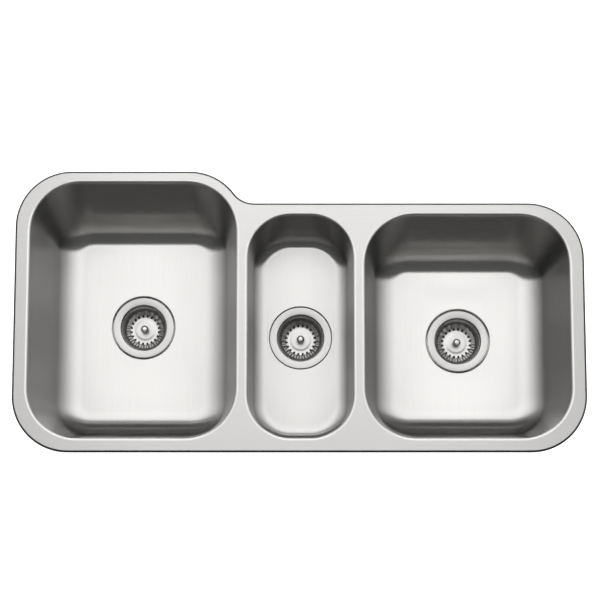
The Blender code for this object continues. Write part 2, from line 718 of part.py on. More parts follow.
def build():
    clear_scene()
    stainless = material("brushed_stainless", (0.62, 0.61, 0.59), 1.0, 0.30)
    strainer_steel = material("polished_stainless", (0.66, 0.65, 0.63), 1.0, 0.22)
    zinc = material("die_cast_zinc", (0.50, 0.50, 0.49), 1.0, 0.45)
    rubber = material("black_rubber", (0.03, 0.03, 0.03), 0.0, 0.70)
    fibre = material("grey_fibre", (0.42, 0.38, 0.32), 0.0, 0.85)
    putty = material("sealing_putty", (0.55, 0.52, 0.44), 0.0, 0.80)
    nylon = material("white_nylon", (0.82, 0.82, 0.80), 0.0, 0.45)
    damping = material("damping_pad", (0.10, 0.10, 0.11), 0.0, 0.80)

    place_bowls()
    left_seam, right_seam = seam_positions()
    for bowl, outline in zip(BOWLS, rim_outlines(left_seam, right_seam)):
        make_bowl(bowl, outline, stainless)
        drain = drain_point(bowl)
        make_strainer(bowl.name, drain, strainer_steel, zinc, rubber, fibre, putty, nylon)
        make_lift_out(bowl.name, drain, strainer_steel, rubber)
    make_weld("left_weld_bead", left_seam, stainless)
    make_weld("right_weld_bead", right_seam, stainless)

    back, front = Vector((0, 1, 0)), Vector((0, -1, 0))
    for bowl, outside in ((LEFT, Vector((-1, 0, 0))), (RIGHT, Vector((1, 0, 0)))):
        make_floor_pad(bowl, damping)
        make_wall_pad(bowl.name + "_back_pad", bowl, back, BACK_PAD_HALF_WIDTH, damping)
        make_wall_pad(bowl.name + "_front_pad", bowl, front, BACK_PAD_HALF_WIDTH, damping)
        make_wall_pad(bowl.name + "_side_pad", bowl, outside, SIDE_PAD_HALF_WIDTH, damping)


build()
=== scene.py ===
import math

import bmesh
import bpy
from mathutils import Matrix, Vector


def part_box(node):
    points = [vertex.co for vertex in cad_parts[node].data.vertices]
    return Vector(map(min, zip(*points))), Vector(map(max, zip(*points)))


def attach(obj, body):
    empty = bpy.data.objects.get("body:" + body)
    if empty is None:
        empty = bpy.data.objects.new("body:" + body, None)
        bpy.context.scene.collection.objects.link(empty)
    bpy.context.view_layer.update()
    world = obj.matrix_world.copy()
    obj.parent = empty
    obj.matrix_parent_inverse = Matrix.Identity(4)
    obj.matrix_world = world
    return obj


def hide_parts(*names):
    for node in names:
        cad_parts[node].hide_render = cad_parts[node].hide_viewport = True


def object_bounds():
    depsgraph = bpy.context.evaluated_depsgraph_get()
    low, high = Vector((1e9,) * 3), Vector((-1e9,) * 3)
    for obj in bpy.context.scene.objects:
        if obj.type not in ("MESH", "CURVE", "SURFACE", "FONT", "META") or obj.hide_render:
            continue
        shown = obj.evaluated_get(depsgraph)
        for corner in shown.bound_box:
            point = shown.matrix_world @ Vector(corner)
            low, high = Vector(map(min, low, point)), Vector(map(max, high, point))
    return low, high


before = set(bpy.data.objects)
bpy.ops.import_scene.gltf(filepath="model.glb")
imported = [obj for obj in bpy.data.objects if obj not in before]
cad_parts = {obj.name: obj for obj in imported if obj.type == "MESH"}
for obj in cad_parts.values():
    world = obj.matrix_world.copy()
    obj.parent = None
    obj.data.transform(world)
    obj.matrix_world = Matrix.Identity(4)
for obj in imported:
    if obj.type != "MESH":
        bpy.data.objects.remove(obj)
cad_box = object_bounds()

# ---------------------------------------------------------------- dimensions of the pressed shell
# In metres, and the same as the CAD part's unless a comment says otherwise.

SHEET = 0.0012
GAP = 0.0003  # clearance between two pieces that touch
LEFT_EDGE, RIGHT_EDGE = -0.5075, 0.5075
FRONT_EDGE = -0.0100
LEFT_BACK_EDGE = 0.4935
RIGHT_BACK_EDGE = 0.4355
RIM_CORNER = 0.100
STEP_FILLET = 0.045  # concave radius where the back edge steps forward
STEP_CORNER_X = -0.197  # centre of the rim's convex corner at that step
RIM_FRONT = 0.0262  # from the rim's front edge to a bowl's wall
RIM_RADIUS = 0.005  # round between the flat rim and a bowl's wall
RIM_LEAD = 0.0004  # flat strip kept along the rim's edges, so that their shading stays beside them
EDGE_ROLL = 0.0038  # round of the rim's outer edge, which is square in the CAD
SEAMS = (-0.10225, 0.10625)  # the x where two pressings are welded together

RECESS_DEPTH = 0.0030  # of the seat pressed in the floor for the strainer's flange
RECESS_LEAD = 0.0008  # a flat strip round the recess, kept for the same reason
DRAIN_HOLE = 0.0452

CORNER_STEPS = 16
SIDE_STEPS = 16
RIM_STEPS = 8
EDGE_ROLL_STEPS = 9
OUTLINE_STEPS = 24
WALL_STEPS = 6
FOOT_STEPS = 18
FLOOR_STEPS = 10
RECESS_STEPS = 12


class Bowl:
    def __init__(
        self, name, x, width, length, corner, depth, draft, foot_radius, fall, forward, to_drain,
        recess, painted_shade,
    ):
        self.name, self.width, self.length, self.corner = name, width, length, corner
        self.depth, self.draft = depth, math.radians(draft)
        self.foot_radius = foot_radius  # between the walls and the floor; rounder than the CAD's
        self.fall = fall  # from the floor's edge to the drain
        self.forward = forward  # how far the floor lies forward of the opening
        self.to_drain = to_drain  # how far the drain lies forward of the opening's middle
        self.recess_outer, self.recess_inner = recess  # radii between which its edge slopes down
        self.painted_shade = painted_shade  # how much painted shade darkens the side walls
        self.centre = Vector((x, FRONT_EDGE + RIM_FRONT + length / 2, 0.0))
        self.drain = self.centre - Vector((0, to_drain, depth))
        self.foot = fall - depth + foot_radius * (1 - math.sin(self.draft))


BOWLS = (
    Bowl(
        "left", x=-0.2965, width=0.367, length=0.455, corner=0.088, depth=0.229, draft=7.6,
        foot_radius=0.047, fall=0.0025, forward=0.008, to_drain=0.005,
        recess=(0.0612, 0.0576), painted_shade=0.8,
    ),
    Bowl(
        "middle", x=0.0020, width=0.187, length=0.396, corner=0.076, depth=0.152, draft=3.0,
        foot_radius=0.0245, fall=0.0008, forward=0.0045, to_drain=0.004,
        recess=(0.0590, 0.0574), painted_shade=0.8,
    ),
    Bowl(
        "right", x=0.2985, width=0.363, length=0.396, corner=0.088, depth=0.203, draft=8.5,
        foot_radius=0.047, fall=0.0025, forward=0.0070, to_drain=0.004,
        recess=(0.0616, 0.0577), painted_shade=1.0,
    ),
)

# ---------------------------------------------------------------- dimensions of the strainers
# Depths are measured down from a bowl's floor at its drain.

FLANGE_RADIUS = 0.05715
FLANGE_TOP, FLANGE_BOTTOM = 0.0002, 0.0020
THROAT_RADIUS, THROAT_TOP, THROAT_DEPTH = 0.0434, 0.0007, 0.0270
STRAINER_WALL = 0.0012
THROAT_OUTER = THROAT_RADIUS + STRAINER_WALL
SHOULDER_RADIUS, SHOULDER_DEPTH = 0.0374, 0.0365
SEAT_TOP_RADIUS, SEAT_TOP_DEPTH = 0.0240, 0.0408  # the cone that the stopper closes
SEAT_RADIUS, SEAT_DEPTH = 0.0205, 0.0430
SPIGOT_INNER, SPIGOT_OUTER = 0.0180, 0.0225
SPIGOT_TOP, SPIGOT_END = 0.0465, 0.0620
THREAD_START, THREAD_END = 0.0062, 0.0250
THREAD_PITCH, THREAD_HEIGHT = 0.0016, 0.0005

CROSSBAR_DEPTH, CROSSBAR_THICKNESS = 0.0500, 0.0015
CROSSBAR_HUB, CROSSBAR_HOLE = 0.0062, 0.0036
CROSSBAR_RING, CROSSBAR_ARM = 0.0025, 0.0030

SEAL_OUTER = 0.0560
GASKET_THICKNESS = 0.0030
FRICTION_RING_THICKNESS = 0.0010
NUT_HEIGHT, NUT_OUTER = 0.0100, 0.0530
LUG_OUTER, LUG_COUNT, LUG_DEGREES = 0.0580, 6, 16
LUG_SLOPE_DEGREES = 1.2

WASHER_THICKNESS = 0.0020
TAIL_OUTER, TAIL_WALL, TAIL_LENGTH = 0.01905, 0.0012, 0.0900
TAIL_LIP_RADIUS, TAIL_LIP_THICKNESS = 0.0220, 0.0016
COUPLING_OUTER, COUPLING_RIB = 0.0275, 0.0300
COUPLING_RIB_COUNT, COUPLING_RIB_ANGLE = 8, 16.9  # the angle of the first rib's middle
COUPLING_HEIGHT, COUPLING_LIP = 0.0160, 0.0022
COUPLING_EDGE, COUPLING_EDGE_SLOPE = 0.0030, 0.0004  # height of its rounded ends, and their lean
COUPLING_STEPS, COUPLING_EDGE_STEPS = 192, 6

SLOT_COUNT = 20
SLOT_HALF_WIDTH = 0.0018
SLOT_OUTER_END = (0.0298, 0.0366)  # (radius, depth) inside the basket
SLOT_INNER_END = (0.0242, 0.0375)
FLOOR_DEPTH = SLOT_INNER_END[1]
BOSS_TOP = 0.0370
BASKET_SHELL = 0.0010
BASKET_SHEET = 0.0009  # a little thinner than the CAD's shell
BASKET_ROW = 0.0009  # longest face down the basket's side
FACES_IN_SLOT, FACES_BETWEEN = 6, 10
LEAST_REACH = 0.0002  # half width of a slot's faces just beyond its ends
FAR_REACH, FAR_AWAY = 0.0009, 0.0040  # and so far away from them
NARROW_RADIUS = 0.0080  # within it, the faces narrow towards the middle
MOST_TURN = 0.15  # sine of the widest angle from a slot's middle to its faces' side
FLUTE_HEIGHT = 0.0016
FLUTE_OUTER, FLUTE_OUTER_FADE = 0.0372, 0.0015
FLUTE_INNER, FLUTE_INNER_FADE = 0.0270, 0.0030

KNOB_TOP = 0.0165
KNOB_WAIST = 0.0050
STEM_SHOULDER_RADIUS = 0.0064
NECK_RADIUS, NECK_END = 0.0042, 0.0462
PIN_RADIUS, STEM_END = 0.0016, 0.0560
STOPPER_TOP_RADIUS, STOPPER_THICKNESS = 0.0200, 0.0036
CLIP_OUTER, CLIP_INNER = 0.0031, 0.0019
CLIP_TOP, CLIP_BOTTOM = 0.0465, 0.0545
CLIP_SLIT_DEGREES = 40

# ---------------------------------------------------------------- outlines and solids


def polar(radius, degrees):
    return radius * math.cos(math.radians(degrees)), radius * math.sin(math.radians(degrees))


def arc(centre, radius, start, end, steps):
    points = [polar(radius, start + (end - start) * i / steps) for i in range(steps + 1)]
    return [(centre[0] + x, centre[1] + y) for x, y in points]


def circle(radius, steps):
    return arc((0, 0), radius, 0, 360, steps)[:-1]


def smooth(t):
    t = min(max(t, 0.0), 1.0)
    return t * t * (3 - 2 * t)


def rounded(corners, steps):
    """A closed outline of (x, y, radius) corners, each rounded to its own radius."""
    out = []
    for i, (x, y, radius) in enumerate(corners):
        here = Vector((x, y))
        before = Vector(corners[i - 1][:2]) - here
        after = Vector(corners[(i + 1) % len(corners)][:2]) - here
        if radius < 1e-6:
            out.append((x, y))
            continue
        cut = radius / math.tan(before.angle(after) / 2)
        cut = min(cut, before.length * 0.49, after.length * 0.49)
        start, end = here + before.normalized() * cut, here + after.normalized() * cut
        for k in range(steps + 1):
            t = k / steps
            point = start.lerp(here, t).lerp(here.lerp(end, t), t)
            out.append((point.x, point.y))
    return out


def placed(name, mesh, matrix=None):
    obj = bpy.data.objects.new(name, mesh)
    bpy.context.scene.collection.objects.link(obj)
    if matrix is not None:
        obj.matrix_world = matrix
    return obj


def thickened(obj, thickness):
    """Makes a skin into a sheet, on the side away from its faces' fronts."""
    sheet = obj.modifiers.new("sheet", "SOLIDIFY")
    sheet.thickness = thickness
    sheet.offset = -1
    return sheet


def bevelled(obj, width, segments):
    edge = obj.modifiers.new("edge", "BEVEL")
    edge.width = width
    edge.segments = segments
    edge.limit_method = "ANGLE"
    edge.angle_limit = math.radians(50)
    return obj


def mesh_object(name, bm, matrix, sharp):
    bmesh.ops.remove_doubles(bm, verts=bm.verts, dist=1e-6)
    bmesh.ops.recalc_face_normals(bm, faces=bm.faces)
    mesh = bpy.data.meshes.new(name)
    bm.to_mesh(mesh)
    bm.free()
    mesh.shade_smooth()
    if sharp:
        mesh.set_sharp_from_angle(angle=math.radians(sharp))
    return placed(name, mesh, matrix)


def bridge(bm, one, other):
    faces = []
    for i in range(len(one)):
        k = (i + 1) % len(one)
        faces.append(bm.faces.new((one[i], one[k], other[k], other[i])))
    return faces


def turned(name, profile, centre, steps, sharp):
    """Spins a closed profile of (radius, depth) points round the vertical axis through centre."""
    bm = bmesh.new()
    rings = []
    for radius, depth in profile:
        if radius < 1e-7:
            rings.append([bm.verts.new((0, 0, -depth))])
        else:
            rings.append([bm.verts.new((x, y, -depth)) for x, y in circle(radius, steps)])
    for i, one in enumerate(rings):
        other = rings[(i + 1) % len(rings)]
        if len(one) == 1 and len(other) == 1:
            continue
        if len(one) == 1 or len(other) == 1:
            tip, ring = (one[0], other) if len(one) == 1 else (other[0], one)
            for k in range(steps):
                bm.faces.new((tip, ring[k], ring[(k + 1) % steps]))
        else:
            bridge(bm, one, other)
    return mesh_object(name, bm, Matrix.Translation(centre), sharp)


def looped(name, loops, centre, sharp):
    """A ring-shaped solid: each loop of points is joined to the next, and the last to the first."""
    bm = bmesh.new()
    rings = [[bm.verts.new(point) for point in loop] for loop in loops]
    for one, other in zip(rings, rings[1:] + rings[:1]):
        bridge(bm, one, other)
    return mesh_object(name, bm, Matrix.Translation(centre), sharp)


def slab(name, outlines, thickness, matrix, bevel, segments=2):
    """A flat piece with its underside at the matrix. The outlines after the first are holes."""
    bm = bmesh.new()
    edges = []
    for outline in outlines:
        ring = [bm.verts.new((x, y, 0.0)) for x, y in outline]
        edges += [bm.edges.new(pair) for pair in zip(ring, ring[1:] + ring[:1])]
    bmesh.ops.triangle_fill(bm, use_beauty=True, use_dissolve=False, edges=edges)
    made = bmesh.ops.extrude_face_region(bm, geom=list(bm.faces))
    top = [v for v in made["geom"] if isinstance(v, bmesh.types.BMVert)]
    bmesh.ops.translate(bm, verts=top, vec=(0, 0, thickness))
    return bevelled(mesh_object(name, bm, matrix, 30), bevel, segments)


def use(obj, body, slot, nodes, *materials):
    """Gives a piece its materials, hides the CAD nodes that it stands for and parents it to its
    body. The slot is not used.
    """
    for made in materials:
        obj.data.materials.append(made)
    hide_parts(*nodes)
    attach(obj, body)
    return obj


# ---------------------------------------------------------------- materials


class Nodes:
    """A short way to write one material's node tree."""

    def __init__(self, name):
        self.material = bpy.data.materials.new(name)
        self.material.use_nodes = True
        self.tree = self.material.node_tree
        self.shader = self.tree.nodes["Principled BSDF"]

    def add(self, kind, **settings):
        node = self.tree.nodes.new(kind)
        for key, value in settings.items():
            setattr(node, key, value)
        return node

    def link(self, source, target):
        self.tree.links.new(source, target)

    def coordinates(self, scale, uv_map=None):
        if uv_map:
            source = self.add("ShaderNodeUVMap", uv_map=uv_map).outputs["UV"]
        else:
            source = self.add("ShaderNodeTexCoord").outputs["Object"]
        mapping = self.add("ShaderNodeMapping")
        mapping.inputs["Scale"].default_value = scale
        self.link(source, mapping.inputs["Vector"])
        return mapping.outputs["Vector"]

    def radius(self, scale):
        """Distance from the piece's vertical axis, angle round it and height, each scaled."""
        source = self.add("ShaderNodeTexCoord").outputs["Object"]
        parts = self.add("ShaderNodeSeparateXYZ")
        self.link(source, parts.inputs[0])
        flat = self.add("ShaderNodeCombineXYZ")
        self.link(parts.outputs[0], flat.inputs[0])
        self.link(parts.outputs[1], flat.inputs[1])
        length = self.add("ShaderNodeVectorMath", operation="LENGTH")
        self.link(flat.outputs[0], length.inputs[0])
        angle = self.add("ShaderNodeMath", operation="ARCTAN2")
        self.link(parts.outputs[1], angle.inputs[0])
        self.link(parts.outputs[0], angle.inputs[1])
        out = self.add("ShaderNodeCombineXYZ")
        for source, share, target in (
            (length.outputs["Value"], scale[0], 0),
            (angle.outputs[0], scale[1], 1),
            (parts.outputs[2], scale[2], 2),
        ):
            times = self.add("ShaderNodeMath", operation="MULTIPLY")
            times.inputs[1].default_value = share
            self.link(source, times.inputs[0])
            self.link(times.outputs[0], out.inputs[target])
        return out.outputs[0]

    def noise(self, vector, detail=3.0, roughness=0.5):
        node = self.add("ShaderNodeTexNoise")
        node.inputs["Scale"].default_value = 1.0
        node.inputs["Detail"].default_value = detail
        node.inputs["Roughness"].default_value = roughness
        self.link(vector, node.inputs["Vector"])
        return node.outputs["Fac"]

    def ranged(self, value, low, high, start, end):
        """low where value is start, high where it is end, and even between."""
        node = self.add("ShaderNodeMapRange")
        node.inputs["From Min"].default_value = start
        node.inputs["From Max"].default_value = end
        node.inputs["To Min"].default_value = low
        node.inputs["To Max"].default_value = high
        self.link(value, node.inputs["Value"])
        return node.outputs["Result"]

    def mixed(self, value, dark, light):
        """Blends two colours, each a triple or another node's output."""
        node = self.add("ShaderNodeMix", data_type="RGBA")
        self.link(value, node.inputs["Factor"])
        sockets = [s for s in node.inputs if s.type == "RGBA"]
        for socket, colour in zip(sockets, (dark, light)):
            if isinstance(colour, tuple):
                socket.default_value = (*colour, 1)
            else:
                self.link(colour, socket)
        return next(s for s in node.outputs if s.type == "RGBA")

    def summed(self, first, second, share):
        """first plus share times second."""
        node = self.add("ShaderNodeMath", operation="MULTIPLY_ADD")
        node.inputs[1].default_value = share
        self.link(second, node.inputs[0])
        self.link(first, node.inputs[2])
        return node.outputs[0]

    def bump(self, height, distance, strength):
        node = self.add("ShaderNodeBump")
        node.inputs["Strength"].default_value = strength
        node.inputs["Distance"].default_value = distance
        self.link(height, node.inputs["Height"])
        self.link(node.outputs["Normal"], self.shader.inputs["Normal"])

    def set(self, **values):
        for key, value in values.items():
            self.shader.inputs[key.replace("_", " ")].default_value = value

    def feed(self, socket, value):
        self.link(value, self.shader.inputs[socket])


STEEL_DARK, STEEL_LIGHT = (0.565, 0.56, 0.55), (0.62, 0.614, 0.602)
# The colour that the painted shade on the side walls and rim darkens towards.
STEEL_PAINTED_SHADE = (0.15, 0.148, 0.145)
STEEL_ROUGH, STEEL_ANISO = 0.36, 1.0
RIM_PAINTED_SHADE = 0.17  # how far the flat rim is darkened with painted shade towards the side walls' shade colour, to match the photograph
PAINTED_SHADE_END = 1.6  # the side walls' painted shade ends at 1 / 1.6 of the way down their feet
MILL_DARK, MILL_LIGHT = (0.30, 0.30, 0.292), (0.46, 0.452, 0.438)
# Near-black painted shade for the rim's rolled outer edge, which draws the shaded edge line round
# the rim.
PAINTED_EDGE_SHADE_DARK, PAINTED_EDGE_SHADE_LIGHT = (0.03, 0.03, 0.03), (0.08, 0.08, 0.078)
RUBBER_DARK, RUBBER_LIGHT = (0.016, 0.016, 0.017), (0.035, 0.035, 0.036)
# Painted shade in the strainer cup's lower part, under the basket, so that the slots look dark; it
# fades in between the two depths below, on the cup's outside as well.
CAVITY_PAINTED_SHADE = (0.05, 0.05, 0.048)
CAVITY_SHADE_START_DEPTH, CAVITY_SHADE_FULL_DEPTH = 0.018, 0.034


def brushed_steel():
    """Sheet steel with a fine grain that runs along V of the grain map, which is in metres,
    darkened with painted shade where a mesh attribute asks.
    """
    n = Nodes("brushed_sink_steel")
    fine = n.noise(n.coordinates((2600, 38, 1), "grain"), 4.0, 0.6)
    broad = n.noise(n.coordinates((420, 7, 1), "grain"), 2.0)
    cloud = n.noise(n.coordinates((9, 9, 9)))
    streaks = n.summed(fine, broad, 0.7)
    both = n.summed(streaks, cloud, 0.5)
    colour = n.mixed(n.ranged(both, 0, 1, 0.7, 1.5), STEEL_DARK, STEEL_LIGHT)
    # Under this light the bowls' side walls would be brighter than pictured, so they are darkened
    # with painted shade.
    painted_shade = n.add("ShaderNodeAttribute", attribute_name="painted_shade").outputs["Fac"]
    n.feed("Base Color", n.mixed(painted_shade, colour, STEEL_PAINTED_SHADE))
    n.feed("Roughness", n.ranged(streaks, STEEL_ROUGH - 0.015, STEEL_ROUGH + 0.015, 0.5, 1.2))
    n.set(Metallic=1.0, Anisotropic=STEEL_ANISO)
    tangent = n.add("ShaderNodeTangent", direction_type="UV_MAP", uv_map="grain")
    n.feed("Tangent", tangent.outputs[0])
    n.bump(streaks, 0.000002, 0.4)
    return n.material


def mill_steel():
    """The matt outside of the pressing, with draw marks and a little haze."""
    n = Nodes("mill_finish_steel")
    cloud = n.noise(n.coordinates((16, 16, 16)), 5.0, 0.6)
    drawn = n.noise(n.coordinates((160, 160, 9)))
    both = n.summed(cloud, drawn, 0.6)
    n.feed("Base Color", n.mixed(n.ranged(both, 0, 1, 0.5, 1.1), MILL_DARK, MILL_LIGHT))
    n.feed("Roughness", n.ranged(both, 0.32, 0.46, 0.5, 1.1))
    n.set(Metallic=1.0)
    n.bump(drawn, 0.00003, 0.6)
    return n.material


def spun_steel(name, light, rough, aniso=0.6, cavity_shade=False):
    """Bright steel with fine rings round the piece's axis. If asked, it is darkened low down with
    painted shade.
    """
    n = Nodes(name)
    ring = n.noise(n.radius((9000, 0.6, 300)))
    cloud = n.noise(n.coordinates((120, 120, 120)))
    both = n.summed(ring, cloud, 0.8)
    dark = tuple(c * 0.80 for c in light)
    colour = n.mixed(n.ranged(both, 0, 1, 0.6, 1.2), dark, light)
    # painted shade, darker with depth below the drain
    if cavity_shade:
        parts = n.add("ShaderNodeSeparateXYZ")
        n.link(n.coordinates((1, 1, 1)), parts.inputs[0])
        level = n.ranged(parts.outputs[2], 0, 1, -CAVITY_SHADE_FULL_DEPTH, -CAVITY_SHADE_START_DEPTH)
        colour = n.mixed(level, CAVITY_PAINTED_SHADE, colour)
    n.feed("Base Color", colour)
    n.feed("Roughness", n.ranged(both, rough * 0.8, rough * 1.2, 0.6, 1.2))
    n.set(Metallic=1.0, Anisotropic=aniso, Anisotropic_Rotation=0.25)
    tangent = n.add("ShaderNodeTangent", direction_type="RADIAL", axis="Z")
    n.feed("Tangent", tangent.outputs[0])
    n.bump(ring, 0.000003, 0.5)
    return n.material


def plain(name, dark, light, rough, metallic, grain, bump):
    """A moulded, cast or sheet material: mottled colour, uneven gloss and a fine surface grain."""
    n = Nodes(name)
    fine = n.noise(n.coordinates((grain, grain, grain)), 5.0, 0.6)
    cloud = n.noise(n.coordinates((grain / 14, grain / 14, grain / 14)))
    both = n.summed(fine, cloud, 0.9)
    n.feed("Base Color", n.mixed(n.ranged(both, 0, 1, 0.6, 1.3), dark, light))
    n.feed("Roughness", n.ranged(both, rough - 0.08, rough + 0.08, 0.6, 1.3))
    n.set(Metallic=metallic)
    n.bump(fine, bump, 0.7)
    return n.material


sink_steel = brushed_steel()
under_steel = mill_steel()
# The rolled edge's near-black painted shade.
edge_painted_shade = plain("rim_edge_painted_shade", PAINTED_EDGE_SHADE_DARK, PAINTED_EDGE_SHADE_LIGHT, 0.45, 1.0, 900, 0.00003)
flange_steel = spun_steel("spun_strainer_steel", (0.56, 0.552, 0.54), 0.28)
# The strainer cup gets painted shade low down.
cup_steel = spun_steel("spun_cup_steel", (0.43, 0.424, 0.415), 0.34, cavity_shade=True)
basket_steel = spun_steel("pressed_basket_steel", (0.46, 0.453, 0.443), 0.33, 0.3)
knob_steel = spun_steel("polished_knob_steel", (0.60, 0.592, 0.58), 0.40, 0.2)
zinc = plain("die_cast_zinc", (0.36, 0.36, 0.36), (0.52, 0.52, 0.51), 0.46, 1.0, 900, 0.00005)
rubber = plain("black_rubber", RUBBER_DARK, RUBBER_LIGHT, 0.62, 0.0, 700, 0.00005)
fibre = plain("grey_fibre", (0.30, 0.27, 0.22), (0.46, 0.42, 0.35), 0.86, 0.0, 1500, 0.00010)
putty = plain("sealing_putty", (0.50, 0.47, 0.38), (0.60, 0.57, 0.48), 0.74, 0.0, 500, 0.00010)
nylon = plain("white_nylon", (0.74, 0.74, 0.71), (0.84, 0.84, 0.82), 0.42, 0.0, 300, 0.00002)
damping = plain("damping_pad", (0.050, 0.050, 0.055), (0.11, 0.11, 0.115), 0.80, 0.0, 1100, 0.00020)

# ---------------------------------------------------------------- the pressed shell


def bowl_outline(bowl, inset):
    """Points and outward directions round a bowl, anticlockwise from the corner at +X +Y."""
    half_x, half_y = bowl.width / 2 - inset, bowl.length / 2 - inset
    radius = bowl.corner - inset
    signs = ((1, 1), (-1, 1), (-1, -1), (1, -1))
    out = []
    for corner, (sx, sy) in enumerate(signs):
        middle = Vector((sx * (half_x - radius), sy * (half_y - radius)))
        for i in range(CORNER_STEPS + 1):
            outward = Vector(polar(1, 90 * (corner + i / CORNER_STEPS)))
            out.append((middle + radius * outward, outward))
        nx, ny = signs[(corner + 1) % 4]
        end = Vector((nx * (half_x - radius), ny * (half_y - radius))) + radius * outward
        start = out[-1][0]
        for k in range(1, SIDE_STEPS):
            out.append((start.lerp(end, k / SIDE_STEPS), outward))
    return out


def wall_profile(bowl):
    """(inset, height) from the flat rim down to the edge of the floor."""
    draft, radius = bowl.draft, bowl.foot_radius
    points = []
    for i in range(RIM_STEPS + 1):
        a = (math.pi / 2 - draft) * i / RIM_STEPS
        points.append((RIM_RADIUS * (math.sin(a) - 1), RIM_RADIUS * (math.cos(a) - 1)))
    top_inset, top_height = points[-1]
    foot_inset = top_inset + (top_height - bowl.foot) * math.tan(draft)
    for k in range(1, WALL_STEPS):
        t = k / WALL_STEPS
        inset = top_inset + (foot_inset - top_inset) * t
        points.append((inset, top_height + (bowl.foot - top_height) * t))
    centre_inset = foot_inset + radius * math.cos(draft)
    centre_height = bowl.foot + radius * math.sin(draft)
    for i in range(FOOT_STEPS + 1):
        a = draft + (math.pi / 2 - draft) * i / FOOT_STEPS
        points.append((centre_inset - radius * math.cos(a), centre_height - radius * math.sin(a)))
    return points


def bowl_loops(bowl):
    """The inner face as loops of (point, place on the grain map), from the rim to the drain."""
    profile = wall_profile(bowl)
    floor_edge = bowl_outline(bowl, profile[-1][0])
    lengths = [0.0]
    for (i0, h0), (i1, h1) in zip(profile, profile[1:]):
        lengths.append(lengths[-1] + math.hypot(i1 - i0, h1 - h0))
    loops = []
    for (inset, height), length in zip(profile, lengths):
        up = lengths[-1] - length
        forward = bowl.forward * min(height / bowl.foot, 1.0)
        loop = []
        for (point, outward), (edge, _) in zip(bowl_outline(bowl, inset), floor_edge):
            place = bowl.centre + Vector((point.x, point.y - forward, height))
            grain = Vector((bowl.centre.x, bowl.centre.y - bowl.forward)) + edge + outward * up
            loop.append((place, (grain.x, grain.y)))
        loops.append(loop)
    steps = 4 * (CORNER_STEPS + SIDE_STEPS)
    # A corner has as many steps as a side, so it faces 45 degrees of the ring, from 22.5 to 67.5.
    ring = [Vector(p) for p in arc((0, 0), 1.0, 22.5, 382.5, steps)[:-1]]
    flat = []
    for k in range(1, FLOOR_STEPS + 1):
        t = k / FLOOR_STEPS
        height = -bowl.depth + bowl.fall * (0.5 + 0.5 * math.cos(math.pi * t))
        row = []
        for (edge, _), r in zip(floor_edge, ring):
            edge = edge + Vector((0, bowl.to_drain - bowl.forward))
            row.append((edge.lerp(r * (bowl.recess_outer + RECESS_LEAD), t), height))
        flat.append(row)
    for k in range(RECESS_STEPS + 1):
        t = k / RECESS_STEPS
        radius = bowl.recess_outer + (bowl.recess_inner - bowl.recess_outer) * t
        flat.append([(r * radius, -bowl.depth - RECESS_DEPTH * smooth(t)) for r in ring])
    flat.append([(r * DRAIN_HOLE, -bowl.depth - RECESS_DEPTH) for r in ring])
    for row in flat:
        loop = []
        for point, height in row:
            place = bowl.centre + Vector((point.x, point.y - bowl.to_drain, height))
            loop.append((place, (place.x, place.y)))
        loops.append(loop)
    return loops


def rim_outline(inset):
    """The rim's outer edge moved inwards, anticlockwise from the front right corner."""
    corner_radius, fillet_radius = RIM_CORNER - inset, STEP_FILLET + inset
    left_x, right_x = LEFT_EDGE + RIM_CORNER, RIGHT_EDGE - RIM_CORNER
    low_y = FRONT_EDGE + RIM_CORNER
    corner = Vector((STEP_CORNER_X, LEFT_BACK_EDGE - RIM_CORNER))
    rise = RIGHT_BACK_EDGE + STEP_FILLET - corner.y
    run = math.sqrt((RIM_CORNER + STEP_FILLET) ** 2 - rise**2)
    fillet = corner + Vector((run, rise))
    tangent = math.degrees(math.atan2(rise, run))
    return (
        arc((right_x, low_y), corner_radius, 270, 360, OUTLINE_STEPS)
        + arc((right_x, RIGHT_BACK_EDGE - RIM_CORNER), corner_radius, 0, 90, OUTLINE_STEPS)
        + arc(fillet, fillet_radius, 270, 180 + tangent, OUTLINE_STEPS // 2)
        + arc(corner, corner_radius, tangent, 90, OUTLINE_STEPS)[1:]
        + arc((left_x, corner.y), corner_radius, 90, 180, OUTLINE_STEPS)
        + arc((left_x, low_y), corner_radius, 180, 270, OUTLINE_STEPS)
    )


